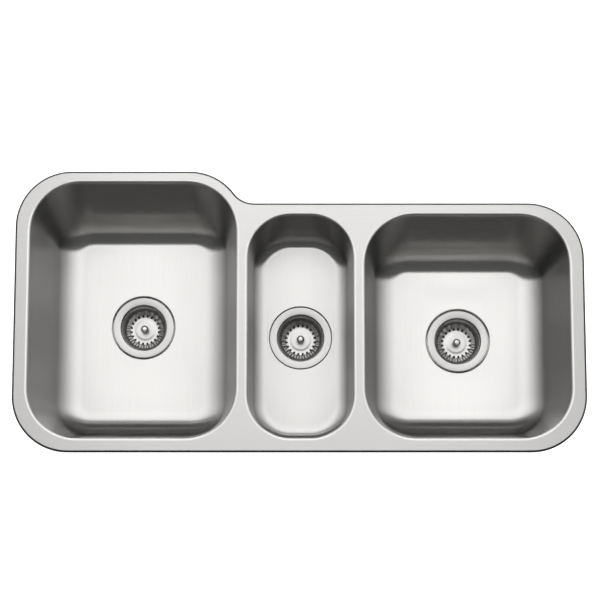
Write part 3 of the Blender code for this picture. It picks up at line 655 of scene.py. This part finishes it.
def make_shell():
    """The three bowls and their rim, welded and ground flush, as one skin thickened outwards."""
    bm = bmesh.new()
    grain = bm.loops.layers.uv.new("grain")
    painted_shade = bm.verts.layers.float.new("painted_shade")
    place_on_map = {}

    def ring(points):
        verts = [bm.verts.new(place) for place, _ in points]
        for vert, (_, where) in zip(verts, points):
            place_on_map[vert] = where
        return verts

    def closed(verts):
        pairs = zip(verts, verts[1:] + verts[:1])
        return [bm.edges.get(pair) or bm.edges.new(pair) for pair in pairs]

    edges, flange = [], []
    for bowl in BOWLS:
        rings = [ring(loop) for loop in bowl_loops(bowl)]
        # Painted shade on the side walls: it fades in down the round below the rim and out part way
        # down the feet.
        for k, one in enumerate(rings[: RIM_STEPS + WALL_STEPS + FOOT_STEPS]):
            down = (k - RIM_STEPS - WALL_STEPS) / FOOT_STEPS
            for vert, (_, outward) in zip(one, bowl_outline(bowl, 0.0)):
                fade = smooth(k / RIM_STEPS) * smooth(1 - PAINTED_SHADE_END * down)
                vert[painted_shade] = fade * abs(outward.x) * bowl.painted_shade
        for one, other in zip(rings, rings[1:]):
            bridge(bm, one, other)
        lead = bowl_outline(bowl, -RIM_RADIUS - RIM_LEAD)
        opening = ring([(bowl.centre + Vector((p.x, p.y, 0)), (0, 0)) for p, _ in lead])
        flange += bridge(bm, opening, rings[0])
        edges += closed(opening)
    border = ring([(Vector((x, y, 0)), (0, 0)) for x, y in rim_outline(EDGE_ROLL + RIM_LEAD)])
    edges += closed(border)
    before = set(bm.faces)
    bmesh.ops.triangle_fill(bm, use_beauty=True, use_dissolve=False, edges=edges)
    flange += [f for f in bm.faces if f not in before]
    # All but the first row of the rolled edge get the near-black painted shade.
    shaded_edge_faces = []
    for i in range(EDGE_ROLL_STEPS + 1):
        a = math.pi / 2 * i / EDGE_ROLL_STEPS
        inset, height = EDGE_ROLL * (1 - math.sin(a)), EDGE_ROLL * (math.cos(a) - 1)
        following = ring([(Vector((x, y, height)), (0, 0)) for x, y in rim_outline(inset)])
        made = bridge(bm, border, following)
        flange += made
        if i > 0:
            shaded_edge_faces += made
        border = following
    for face in shaded_edge_faces:
        face.material_index = 2
    for face in bm.faces:
        for loop in face.loops:
            loop[grain].uv = place_on_map[loop.vert]
    # The flat rim and its rolled edge get a little painted shade too.
    for face in flange:
        for loop in face.loops:
            loop[grain].uv = (loop.vert.co.y, loop.vert.co.x)
            loop.vert[painted_shade] = RIM_PAINTED_SHADE
    bmesh.ops.recalc_face_normals(bm, faces=bm.faces)
    top = max(bm.faces, key=lambda face: face.calc_area())
    if top.normal.z < 0:
        bmesh.ops.reverse_faces(bm, faces=bm.faces)
    mesh = bpy.data.meshes.new("pressed_shell")
    bm.to_mesh(mesh)
    bm.free()
    mesh.shade_smooth()
    obj = placed("pressed_shell", mesh)
    sheet = thickened(obj, SHEET)
    sheet.use_even_offset = True
    sheet.material_offset = 1
    return obj


# ---------------------------------------------------------------- the strainers


def threaded(radius):
    """Points down a threaded outside."""
    points = []
    depth, root = THREAD_START, radius - THREAD_HEIGHT
    while depth + THREAD_PITCH < THREAD_END:
        points += [(radius, depth), (radius, depth + THREAD_PITCH * 0.25)]
        points += [(root, depth + THREAD_PITCH * 0.6), (root, depth + THREAD_PITCH * 0.8)]
        depth += THREAD_PITCH
    return points


def strainer_profile():
    """(radius, depth) down the inside and back up the outside, with the thread under the flange."""
    profile = rounded(
        [
            (FLANGE_RADIUS, FLANGE_BOTTOM, 0.0003),
            (FLANGE_RADIUS, FLANGE_TOP, 0.0008),
            (THROAT_RADIUS, THROAT_TOP, 0.0016),
            (THROAT_RADIUS, THROAT_DEPTH, 0.0040),
            (SHOULDER_RADIUS, SHOULDER_DEPTH, 0.0050),
            (SEAT_TOP_RADIUS, SEAT_TOP_DEPTH, 0.0015),
            (SEAT_RADIUS, SEAT_DEPTH, 0.0015),
            (SPIGOT_INNER, SPIGOT_TOP, 0.0015),
            (SPIGOT_INNER, SPIGOT_END, 0.0003),
            (SPIGOT_OUTER, SPIGOT_END, 0.0005),
            (SPIGOT_OUTER, SPIGOT_TOP + STRAINER_WALL * 0.75, 0.0010),
            (SHOULDER_RADIUS + STRAINER_WALL, SHOULDER_DEPTH + STRAINER_WALL, 0.0050),
            (THROAT_OUTER, THROAT_DEPTH + STRAINER_WALL / 2, 0.0040),
            (THROAT_OUTER, FLANGE_BOTTOM, 0.0004),
        ],
        6,
    )
    below, inwards = THREAD_END + 0.0005, THROAT_OUTER - 0.0006
    last = max(i for i, (r, d) in enumerate(profile) if d > below and r > inwards)
    return profile[: last + 1] + threaded(THROAT_OUTER)[::-1] + profile[last + 1 :]


def make_body(side, centre):
    obj = turned(side + "_strainer_cup", strainer_profile(), centre, 128, 40)
    use(obj, "sink", "strainer_steel", [side + "_strainer_body"], cup_steel)


def make_crossbar(side, centre):
    """A ring and a hub joined by four arms, with a hole for the stem's pin and its clip."""
    outer = SPIGOT_INNER - GAP
    window = outer - CROSSBAR_RING
    outlines = [circle(outer, 96), circle(CROSSBAR_HOLE, 32)]
    at_ring = math.degrees(math.asin(CROSSBAR_ARM / 2 / window))
    at_hub = math.degrees(math.asin(CROSSBAR_ARM / 2 / CROSSBAR_HUB))
    for start in (0, 90, 180, 270):
        far_side = arc((0, 0), window, start + at_ring, start + 90 - at_ring, 16)
        near_side = arc((0, 0), CROSSBAR_HUB, start + 90 - at_hub, start + at_hub, 8)
        outlines.append(far_side + near_side)
    placement = Matrix.Translation(centre - Vector((0, 0, CROSSBAR_DEPTH + CROSSBAR_THICKNESS)))
    obj = slab(side + "_outlet_spider", outlines, CROSSBAR_THICKNESS, placement, 0.0003)
    use(obj, "sink", "strainer_steel", [side + "_crossbar"], flange_steel)


def flat_ring(name, centre, top, thickness, inner, outer, edge):
    """A ring with rounded edges."""
    profile = rounded(
        [
            (inner, top, edge),
            (outer, top, edge),
            (outer, top + thickness, edge),
            (inner, top + thickness, edge),
        ],
        4,
    )
    return turned(name, profile, centre, 128, 50)


def make_locknut(side, centre, top):
    """A cast nut with lugs to turn it by."""
    outline = []
    pitch = 360 / LUG_COUNT
    for i in range(LUG_COUNT):
        start = i * pitch
        end = start + LUG_DEGREES
        outline += arc((0, 0), LUG_OUTER, start, end, 6)
        outline += arc(
            (0, 0), NUT_OUTER, end + LUG_SLOPE_DEGREES, start + pitch - LUG_SLOPE_DEGREES, 18
        )
    outlines = [outline, circle(THROAT_OUTER + GAP, 96)]
    placement = Matrix.Translation(centre - Vector((0, 0, top + NUT_HEIGHT)))
    nut = slab(side + "_cast_locknut", outlines, NUT_HEIGHT, placement, 0.0008, 3)
    use(nut, "sink", "zinc", [side + "_locknut"], zinc)


def make_coupling(side, centre, top, bottom):
    """The slip nut, with rounded ribs to grip and a lip under the tailpiece's flange."""
    inner, lip = SPIGOT_OUTER + GAP, TAIL_OUTER + GAP
    lip_top = bottom - COUPLING_LIP
    rise = COUPLING_RIB - COUPLING_OUTER
    # (radius, share of the ribs' height, depth) down the inside and back up the outside
    sections = [(inner, 0, top), (inner, 0, lip_top), (lip, 0, lip_top), (lip, 0, bottom)]
    for k in range(COUPLING_EDGE_STEPS + 1):
        t = k / COUPLING_EDGE_STEPS
        depth = bottom - COUPLING_EDGE * t * t
        sections.append((COUPLING_OUTER - COUPLING_EDGE_SLOPE * (1 - t), smooth(t), depth))
    for k in range(COUPLING_EDGE_STEPS + 1):
        t = 1 - k / COUPLING_EDGE_STEPS
        depth = top + COUPLING_EDGE * t * t
        sections.append((COUPLING_OUTER - COUPLING_EDGE_SLOPE * (1 - t), smooth(t), depth))
    loops = []
    for base, share, depth in sections:
        loop = []
        for i in range(COUPLING_STEPS):
            angle = 360 * i / COUPLING_STEPS
            phase = COUPLING_RIB_COUNT * (angle - COUPLING_RIB_ANGLE)
            crest = 0.5 + 0.5 * math.cos(math.radians(phase))
            # The ribs have flat tops, and flat valleys between them.
            x, y = polar(base + rise * share * smooth(1.6 * crest - 0.3), angle)
            loop.append(Vector((x, y, -depth)))
        loops.append(loop)
    obj = looped(side + "_slip_nut", loops, centre, 40)
    use(obj, "sink", "zinc", [side + "_coupling_nut"], zinc)


def make_fixed(side, centre):
    """The pieces that clamp the strainer in the floor, and the tailpiece below it."""
    make_body(side, centre)
    make_crossbar(side, centre)
    hole = DRAIN_HOLE + GAP
    depth = FLANGE_BOTTOM + GAP
    thickness = RECESS_DEPTH - FLANGE_BOTTOM - 2 * GAP
    seal = flat_ring(side + "_putty_bead", centre, depth, thickness, hole, SEAL_OUTER, 0.0001)
    use(seal, "sink", "putty", [side + "_putty_seal"], putty)
    depth = RECESS_DEPTH + SHEET + GAP
    gasket = flat_ring(
        side + "_rubber_gasket", centre, depth, GASKET_THICKNESS, hole, SEAL_OUTER, 0.0010
    )
    use(gasket, "sink", "black_rubber", [side + "_gasket"], rubber)
    depth += GASKET_THICKNESS + GAP
    card = flat_ring(
        side + "_fibre_washer", centre, depth, FRICTION_RING_THICKNESS, hole, SEAL_OUTER, 0.0002
    )
    use(card, "sink", "fibre", [side + "_friction_ring"], fibre)
    make_locknut(side, centre, depth + FRICTION_RING_THICKNESS + GAP)

    depth = SPIGOT_END + GAP
    inner, outer = SPIGOT_INNER, TAIL_LIP_RADIUS
    washer = flat_ring(
        side + "_nylon_washer", centre, depth, WASHER_THICKNESS, inner, outer, 0.0005
    )
    use(washer, "sink", "nylon", [side + "_tailpiece_washer"], nylon)
    top = depth + WASHER_THICKNESS + GAP
    lip_bottom = top + TAIL_LIP_THICKNESS
    tube = rounded(
        [
            (TAIL_OUTER - TAIL_WALL, top, 0.0008),
            (TAIL_OUTER - TAIL_WALL, top + TAIL_LENGTH, 0.0003),
            (TAIL_OUTER, top + TAIL_LENGTH, 0.0003),
            (TAIL_OUTER, lip_bottom, 0.0012),
            (TAIL_LIP_RADIUS, lip_bottom, 0.0005),
            (TAIL_LIP_RADIUS, top, 0.0005),
        ],
        5,
    )
    tail = turned(side + "_flanged_tailpiece", tube, centre, 96, 40)
    use(tail, "sink", "strainer_steel", [side + "_tailpiece"], flange_steel)
    bottom = lip_bottom + GAP + COUPLING_LIP
    make_coupling(side, centre, bottom - COUPLING_HEIGHT, bottom)


# ---------------------------------------------------------------- the lift-out baskets


def basket_profile():
    """(radius, depth) of the basket's inside, from the rim to the middle."""
    stem_hole = NECK_RADIUS + GAP
    corners = [
        (0.0424, 0.0121, 0.0),
        (0.0402, 0.0146, 0.0012),
        (0.0394, 0.0150, 0.0010),
        (0.0366, 0.0343, 0.0030),
        (*SLOT_OUTER_END, 0.0030),
        (*SLOT_INNER_END, 0.0020),
        (0.0205, FLOOR_DEPTH, 0.0030),
        (0.0165, BOSS_TOP, 0.0030),
        (stem_hole, BOSS_TOP, 0.0),
    ]
    open_line = rounded(corners, 7)  # its two ends are sharp, so they stay where they are
    dense = []
    for (r0, d0), (r1, d1) in zip(open_line, open_line[1:]):
        steps = max(1, math.ceil(math.hypot(r1 - r0, d1 - d0) / BASKET_ROW))
        for k in range(steps):
            dense.append((r0 + (r1 - r0) * k / steps, d0 + (d1 - d0) * k / steps))
    dense.append(open_line[-1])
    return dense


def slot_reach(inside):
    """Half the width of the faces that hold a slot, at this distance inside its nearer end."""
    if inside >= SLOT_HALF_WIDTH:
        return SLOT_HALF_WIDTH
    if inside > 0:
        from_centre = SLOT_HALF_WIDTH - inside
        return math.sqrt(SLOT_HALF_WIDTH**2 - from_centre**2) + LEAST_REACH
    return LEAST_REACH + (FAR_REACH - LEAST_REACH) * smooth(-inside / FAR_AWAY)


def make_basket(side, centre):
    """A pressed cup, fluted between its slots."""
    profile = basket_profile()
    lengths = [0.0]
    for (r0, d0), (r1, d1) in zip(profile, profile[1:]):
        lengths.append(lengths[-1] + math.hypot(r1 - r0, d1 - d0))
    top_at = min(l for l, (r, d) in zip(lengths, profile) if r <= SLOT_OUTER_END[0])
    inner_at = max(l for l, (r, d) in zip(lengths, profile) if r >= SLOT_INNER_END[0])
    pitch = 360 / SLOT_COUNT
    bm = bmesh.new()
    rings = []
    for (radius, depth), length in zip(profile, lengths):
        reach = slot_reach(min(length - top_at, inner_at - length))
        sine = min(reach / max(radius, NARROW_RADIUS), MOST_TURN)
        turn = math.degrees(math.asin(sine))
        flute = FLUTE_HEIGHT * smooth((FLUTE_OUTER - radius) / FLUTE_OUTER_FADE)
        flute *= smooth((radius - FLUTE_INNER) / FLUTE_INNER_FADE)
        ring = []
        for i in range(SLOT_COUNT):
            middle = pitch * (i + 0.5)
            angles = [middle - turn + 2 * turn * k / FACES_IN_SLOT for k in range(FACES_IN_SLOT)]
            gap = pitch - 2 * turn
            angles += [middle + turn + gap * k / FACES_BETWEEN for k in range(FACES_BETWEEN)]
            for angle in angles:
                wave = 0.5 + 0.5 * math.cos(math.radians(SLOT_COUNT * (angle - middle)))
                x, y = polar(radius, angle)
                ring.append(bm.verts.new((x, y, flute * (0.5 - wave) - depth)))
        rings.append(ring)
    width = FACES_IN_SLOT + FACES_BETWEEN
    for row, (one, other) in enumerate(zip(rings, rings[1:])):
        cut = top_at <= lengths[row] and lengths[row + 1] <= inner_at
        for i in range(len(one)):
            if cut and i % width < FACES_IN_SLOT:
                continue
            k = (i + 1) % len(one)
            bm.faces.new((one[i], one[k], other[k], other[i]))
    bmesh.ops.recalc_face_normals(bm, faces=bm.faces)
    flat = min(bm.faces, key=lambda face: face.calc_center_median().xy.length)
    if flat.normal.z < 0:
        bmesh.ops.reverse_faces(bm, faces=bm.faces)
    mesh = bpy.data.meshes.new(side + "_slotted_basket")
    bm.to_mesh(mesh)
    bm.free()
    mesh.shade_smooth()
    obj = placed(side + "_slotted_basket", mesh, Matrix.Translation(centre))
    thickened(obj, BASKET_SHEET)
    use(obj, side + "_lift_out", "strainer_steel", [side + "_basket"], basket_steel)


def make_stem(side, centre):
    """The knob, the neck through the basket's boss and the thin pin that the clip grips."""
    profile = rounded(
        [
            (0.0, KNOB_TOP, 0.0),
            (0.0048, 0.0170, 0.0060),
            (0.0071, 0.0205, 0.0030),
            (0.0070, 0.0265, 0.0040),
            (KNOB_WAIST, 0.0312, 0.0040),
            (STEM_SHOULDER_RADIUS, 0.0362, 0.0010),
            (STEM_SHOULDER_RADIUS, BOSS_TOP - GAP, 0.0002),
            (NECK_RADIUS, BOSS_TOP - GAP, 0.0),
            (NECK_RADIUS, NECK_END, 0.0003),
            (PIN_RADIUS, NECK_END, 0.0),
            (PIN_RADIUS, STEM_END, 0.0005),
            (0.0, STEM_END, 0.0),
        ],
        8,
    )
    obj = turned(side + "_knob_and_pin", profile, centre, 64, 40)
    use(obj, side + "_lift_out", "strainer_steel", [side + "_basket_stem"], knob_steel)


def make_stopper(side, centre):
    """A rubber disc whose edge lies on the slope of the seat."""
    top = FLOOR_DEPTH + BASKET_SHELL + GAP
    bottom = top + STOPPER_THICKNESS
    hole = NECK_RADIUS + GAP
    slope = (SEAT_DEPTH - SEAT_TOP_DEPTH) / (SEAT_TOP_RADIUS - SEAT_RADIUS)
    edge_radius, edge_depth = SEAT_TOP_RADIUS - 4 * GAP, SEAT_TOP_DEPTH + GAP
    profile = rounded(
        [
            (hole, top, 0.0003),
            (STOPPER_TOP_RADIUS, top, 0.0010),
            (edge_radius, edge_depth, 0.0006),
            (edge_radius - (bottom - edge_depth) / slope, bottom, 0.0005),
            (hole, bottom, 0.0003),
        ],
        5,
    )
    obj = turned(side + "_rubber_stopper", profile, centre, 96, 40)
    use(obj, side + "_lift_out", "black_rubber", [side + "_stopper"], rubber)


def make_clip(side, centre):
    half = CLIP_SLIT_DEGREES / 2
    c_shape = arc((0, 0), CLIP_OUTER, half, 360 - half, 40)
    c_shape += arc((0, 0), CLIP_INNER, 360 - half, half, 32)
    placement = Matrix.Translation(centre - Vector((0, 0, CLIP_BOTTOM)))
    obj = slab(side + "_spring_clip", [c_shape], CLIP_BOTTOM - CLIP_TOP, placement, 0.00015)
    use(obj, side + "_clip", "strainer_steel", [side + "_stem_clip"], knob_steel)


# ---------------------------------------------------------------- pads and welds under the sink


def pad_from_node(node, name):
    """Rounds a CAD pad's edges on a copy of its mesh."""
    obj = placed(name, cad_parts[node].data.copy())
    bm = bmesh.new()
    bm.from_mesh(obj.data)
    bmesh.ops.remove_doubles(bm, verts=bm.verts, dist=1e-6)
    bmesh.ops.dissolve_limit(bm, angle_limit=math.radians(1), verts=bm.verts, edges=bm.edges)
    bm.to_mesh(obj.data)
    bm.free()
    obj.data.materials.clear()
    obj.data.shade_smooth()
    obj.data.set_sharp_from_angle(angle=math.radians(50))
    bevelled(obj, 0.0008, 3)
    use(obj, "sink", "damping", [node], damping)


WELD_STEPS, WELD_SIDES = 260, 10
RIPPLE_PITCH, RIPPLE_DEPTH = 0.0031, 0.16
WELD_END = 0.006  # share of the weld that each of its ends tapers over


def make_weld(node, name, x):
    """A half-round bead with the ripples of the weld."""
    low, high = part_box(node)
    half_width, height = (high.x - low.x) / 2, high.z - low.z
    curve = [polar(1, 180 + 180 * k / WELD_SIDES) for k in range(WELD_SIDES + 1)]
    bm = bmesh.new()
    rings = []
    for i in range(WELD_STEPS + 1):
        t = i / WELD_STEPS
        y = low.y + (high.y - low.y) * t
        end = smooth(min(t, 1 - t) / WELD_END) ** 0.5
        uneven = 0.7 * math.sin(y * 90)
        wave = math.cos(math.tau * y / RIPPLE_PITCH + uneven)
        ripple = 1 - RIPPLE_DEPTH * (0.5 + 0.5 * wave)
        width, depth = max(half_width * end, 1e-5), max(height * end * ripple, 1e-5)
        rings.append([bm.verts.new((x + cx * width, y, high.z + cz * depth)) for cx, cz in curve])
    for one, other in zip(rings, rings[1:]):
        bridge(bm, one, other)
    bm.faces.new(rings[0])
    bm.faces.new(list(reversed(rings[-1])))
    obj = mesh_object(name, bm, None, 40)
    use(obj, "sink", "stainless", [node], under_steel)


# ---------------------------------------------------------------- the whole sink

bowl_nodes = [bowl.name + "_bowl" for bowl in BOWLS]
use(make_shell(), "sink", "stainless", bowl_nodes, sink_steel, under_steel, edge_painted_shade)
for bowl in BOWLS:
    make_fixed(bowl.name, bowl.drain)
    make_basket(bowl.name, bowl.drain)
    make_stem(bowl.name, bowl.drain)
    make_stopper(bowl.name, bowl.drain)
    make_clip(bowl.name, bowl.drain)
for side in ("left", "right"):
    for place in ("floor", "back", "front", "side"):
        pad_from_node(f"{side}_{place}_pad", f"{side}_{place}_damper")
for side, seam in zip(("left", "right"), SEAMS):
    make_weld(side + "_weld_bead", side + "_seam_bead", seam)

# ---------------------------------------------------------------- floor, light and camera

FLOOR_BELOW = 0.25  # from the floor to the lowest tailpiece
TILT = math.radians(8)
DISTANCE = 3.10
AIM = Vector((0.001, 0.260, 0.0))
LENS = 104.8
WORLD_LIGHT = 0.18


def make_floor(height):
    bm = bmesh.new()
    bmesh.ops.create_grid(bm, x_segments=1, y_segments=1, size=30)
    floor = mesh_object("studio_floor", bm, Matrix.Translation((0, 0, height)), None)
    n = Nodes("pale_floor")
    n.set(Roughness=0.9)
    n.shader.inputs["Base Color"].default_value = (0.8, 0.8, 0.8, 1)
    n.shader.inputs["Emission Color"].default_value = (1, 1, 1, 1)
    n.shader.inputs["Emission Strength"].default_value = 1.0
    # The floor is clear from below, so that the underside can be looked at.
    clear = n.add("ShaderNodeBsdfTransparent")
    under = n.add("ShaderNodeNewGeometry").outputs["Backfacing"]
    either = n.add("ShaderNodeMixShader")
    n.link(under, either.inputs[0])
    n.link(n.shader.outputs[0], either.inputs[1])
    n.link(clear.outputs[0], either.inputs[2])
    n.link(either.outputs[0], n.tree.nodes["Material Output"].inputs["Surface"])
    floor.data.materials.append(n.material)


def softbox(name, place, width, length, radiance, turn=(0, 0)):
    """A soft light of even brightness, facing down, or turned by so many degrees about X and Y."""
    light = bpy.data.lights.new(name, "AREA")
    light.shape = "RECTANGLE"
    light.size, light.size_y = width, length
    light.energy = radiance * math.pi * width * length
    obj = bpy.data.objects.new(name, light)
    obj.location = place
    obj.rotation_euler = (math.radians(turn[0]), math.radians(turn[1]), 0)
    obj.visible_camera = False
    bpy.context.scene.collection.objects.link(obj)


make_floor(cad_box[0].z - FLOOR_BELOW)
softbox("overhead_softbox", (0, 2.1, 3.6), 1.9, 4.0, 2.65)
softbox("back_fill", (0, 5.4, 3.6), 9.0, 2.5, 0.55)
softbox("back_panel", (0, 7.0, 1.9), 9.0, 3.4, 3.2, (-90, 0))
for side, way in (("left", -1), ("right", 1)):
    softbox(side + "_overhead_wing", (way * 1.725, 2.1, 3.6), 1.55, 4.0, 1.85)
    softbox(side + "_softbox", (way * 3.6, 2.1, 3.6), 2.2, 4.4, 1.2)
    softbox(side + "_panel", (way * 4.7, 2.7, 1.9), 3.4, 5.0, 1.0, (0, way * 90))

world = bpy.data.worlds.new("studio")
world.use_nodes = True
backdrop = world.node_tree.nodes["Background"]
backdrop.inputs["Color"].default_value = (1, 1, 1, 1)
backdrop.inputs["Strength"].default_value = WORLD_LIGHT
scene = bpy.context.scene
scene.world = world
scene.view_settings.view_transform = "Standard"

camera_data = bpy.data.cameras.new("camera")
camera_data.lens = LENS
camera = bpy.data.objects.new("camera", camera_data)
camera.location = AIM + DISTANCE * Vector((0, -math.sin(TILT), math.cos(TILT)))
camera.rotation_euler = (TILT, 0, 0)
scene.collection.objects.link(camera)
scene.camera = camera
